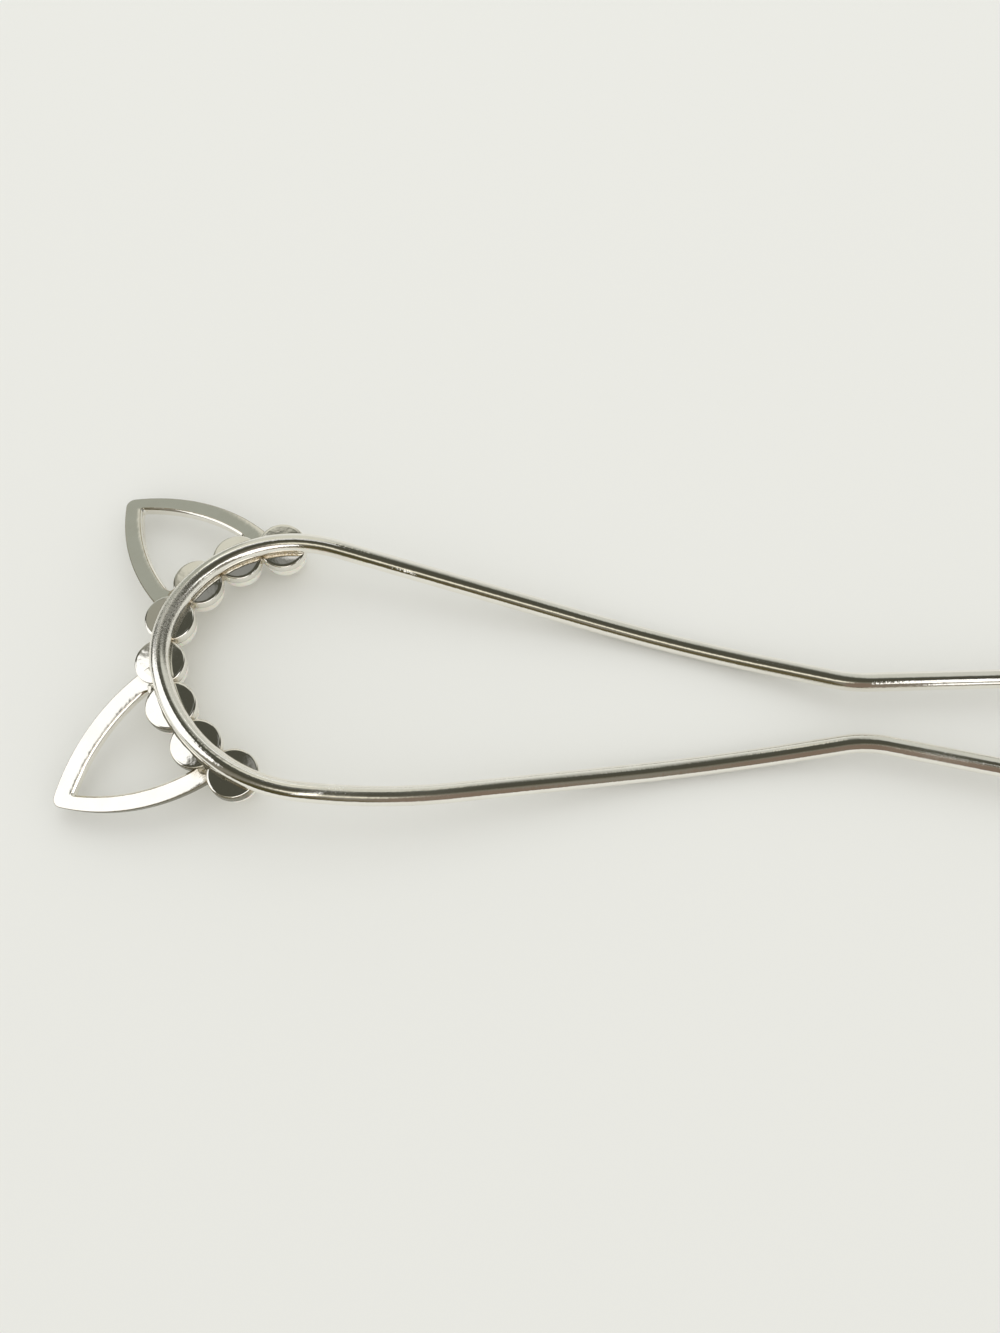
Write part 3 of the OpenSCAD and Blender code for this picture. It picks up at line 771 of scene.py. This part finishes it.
def facing_card(name, centre, target, size, brightness):
    """Such a card turned to face a point, with its short side as near the x direction as it can be."""
    away = unit(np.subtract(centre, target))
    long_way = np.cross([1.0, 0.0, 0.0], away)
    gloss_card(name, centre, long_way, np.cross(away, long_way), size, brightness)


facing_card("leg_card", (107.0, -66.0, 130.0), target=(24.0, 3.0, 0.0), size=(85.0, 42.0), brightness=1.2)
facing_card("end_card", (84.0, -74.0, 33.0), target=(28.0, 6.0, 1.0), size=(30.0, 24.0), brightness=1.1)
gloss_card("bow_card", (-38.7, -32.7, 30.5), long_way=(14.0, 56.0, -32.0), short_way=(0.0, 0.0, 1.0),
           size=(60.0, 20.0), brightness=1.2)
gloss_card("rim_card", (-47.0, 18.8, 25.0), long_way=(1.0, 0.0, 0.0), short_way=(0.0, 1.0, 0.0),
           size=(20.0, 6.4), brightness=0.48)

MATTE_ROOM, MATTE_STRENGTH = (0.885, 0.88, 0.855), 1.08
# the tones of the gloss's room, chosen for a greyer plate, are dimmed by this much for the plate as it is
GLOSS_DIMMING = (0.874, 0.882, 0.897)
# tone of the ceiling by a direction's y: -1 is the near side, 0 the middle, 1 the far side
CEILING = [(-1.0, (0.24, 0.215, 0.17)), (-0.88, (0.25, 0.225, 0.18)), (-0.72, (0.25, 0.23, 0.185)),
           (-0.55, (0.25, 0.235, 0.19)), (-0.38, (0.17, 0.16, 0.12)), (-0.22, (0.08, 0.076, 0.054)),
           (0.38, (0.08, 0.08, 0.062)), (0.50, (0.115, 0.115, 0.09)), (0.58, (0.17, 0.17, 0.14)),
           (0.66, (0.28, 0.28, 0.25)), (0.76, (0.48, 0.48, 0.43)), (0.88, (0.70, 0.70, 0.64)),
           (1.0, (0.90, 0.90, 0.83))]
# soft cards on it: centre and half size in the x and y of a direction, softness, and tone
CARDS = [((-0.065, 0.26), (0.05, 0.055), 0.3, (0.28, 0.28, 0.26)),
         ((-0.38, 0.40), (0.15, 0.09), 0.5, (0.36, 0.35, 0.29)),
         ((-0.62, 0.68), (0.24, 0.26), 0.15, (0.40, 0.41, 0.35)),
         ((-0.19, 0.655), (0.23, 0.25), 0.1, (0.76, 0.745, 0.64)),
         ((0.44, 0.72), (0.26, 0.30), 0.4, (0.68, 0.68, 0.61)),
         ((-0.05, -0.56), (0.24, 0.115), 0.4, (0.98, 0.93, 0.76)),
         ((-0.42, -0.87), (0.34, 0.16), 0.4, (0.085, 0.075, 0.035)),
         ((-0.12, -0.97), (0.20, 0.07), 0.4, (0.12, 0.10, 0.05)),
         ((0.27, -0.88), (0.17, 0.38), 0.3, (0.237, 0.179, 0.135)),
         ((-0.72, -0.12), (0.27, 0.40), 0.06, (1.35, 1.34, 1.30)),
         ((-0.44, 0.14), (0.12, 0.165), 0.08, (1.35, 1.34, 1.30))]
# so tall that the height of a direction hardly matters
CARD_HALF_HEIGHT = 10.0


def soft_card_group():
    """Mask of a soft-edged ellipsoid among the directions: 1 inside and 0 outside, smooth where the length of
    (direction - centre) / half size is between 1 - Softness and 1 + Softness."""
    tree = bpy.data.node_groups.new("soft_card", "ShaderNodeTree")
    group_socket(tree, "Direction", "NodeSocketVector", "INPUT")
    group_socket(tree, "Centre", "NodeSocketVector", "INPUT")
    group_socket(tree, "Half Size", "NodeSocketVector", "INPUT")
    group_socket(tree, "Softness", "NodeSocketFloat", "INPUT", 0.3)
    group_socket(tree, "Mask", "NodeSocketFloat", "OUTPUT")
    start, end = node(tree, "NodeGroupInput"), node(tree, "NodeGroupOutput")
    off = node(tree, "ShaderNodeVectorMath", operation="SUBTRACT")
    scaled = node(tree, "ShaderNodeVectorMath", operation="DIVIDE")
    length = node(tree, "ShaderNodeVectorMath", operation="LENGTH")
    low = node(tree, "ShaderNodeMath", operation="SUBTRACT", values={0: 1.0})
    high = node(tree, "ShaderNodeMath", operation="ADD", values={0: 1.0})
    fade = node(tree, "ShaderNodeMapRange", interpolation_type="SMOOTHSTEP",
                values={"To Min": 1.0, "To Max": 0.0})
    link(tree, start, "Direction", off, 0)
    link(tree, start, "Centre", off, 1)
    link(tree, off, "Vector", scaled, 0)
    link(tree, start, "Half Size", scaled, 1)
    link(tree, scaled, "Vector", length, 0)
    link(tree, start, "Softness", low, 1)
    link(tree, start, "Softness", high, 1)
    link(tree, length, "Value", fade, "Value")
    link(tree, low, "Value", fade, "From Min")
    link(tree, high, "Value", fade, "From Max")
    link(tree, fade, "Result", end, "Mask")
    return tree


def dimmed(tone):
    """A tone times GLOSS_DIMMING, with its alpha."""
    return (*np.multiply(tone, GLOSS_DIMMING), 1)


soft_card = soft_card_group()
world = bpy.data.worlds.new("studio")
bpy.context.scene.world = world
world.use_nodes = True
sky = world.node_tree
sky.nodes.clear()
look = node(sky, "ShaderNodeTexCoord")
parts = node(sky, "ShaderNodeSeparateXYZ")
link(sky, look, "Generated", parts, "Vector")
light = node(sky, "ShaderNodeValToRGB")
link(sky, ranged(sky, parts, "Y", -1.0, 1.0), "Result", light, "Fac")
stops = light.color_ramp.elements
while len(stops) < len(CEILING):
    stops.new(0.5)
for stop, (at, tone) in zip(stops, CEILING):
    stop.position, stop.color = (at + 1) / 2, dimmed(tone)
light_out = "Color"
for centre, half, softness, tone in CARDS:
    card = node(sky, "ShaderNodeGroup", node_tree=soft_card, values={
        "Centre": (*centre, 0.0), "Half Size": (*half, CARD_HALF_HEIGHT), "Softness": softness})
    link(sky, look, "Generated", card, "Direction")
    over = node(sky, "ShaderNodeMix", data_type="RGBA", values={MIX_B: dimmed(tone)})
    link(sky, card, "Mask", over, 0)
    link(sky, light, light_out, over, MIX_A)
    light, light_out = over, MIX_OUT
gloss_room = node(sky, "ShaderNodeBackground")
link(sky, light, light_out, gloss_room, "Color")
matte_room = node(sky, "ShaderNodeBackground", values={"Color": (*MATTE_ROOM, 1), "Strength": MATTE_STRENGTH})
rays = node(sky, "ShaderNodeLightPath")
either = node(sky, "ShaderNodeMixShader")
link(sky, rays, "Is Glossy Ray", either, 0)
link(sky, matte_room, "Background", either, 1)
link(sky, gloss_room, "Background", either, 2)
link(sky, either, "Shader", node(sky, "ShaderNodeOutputWorld"), "Surface")
bpy.context.scene.view_settings.view_transform = "Standard"
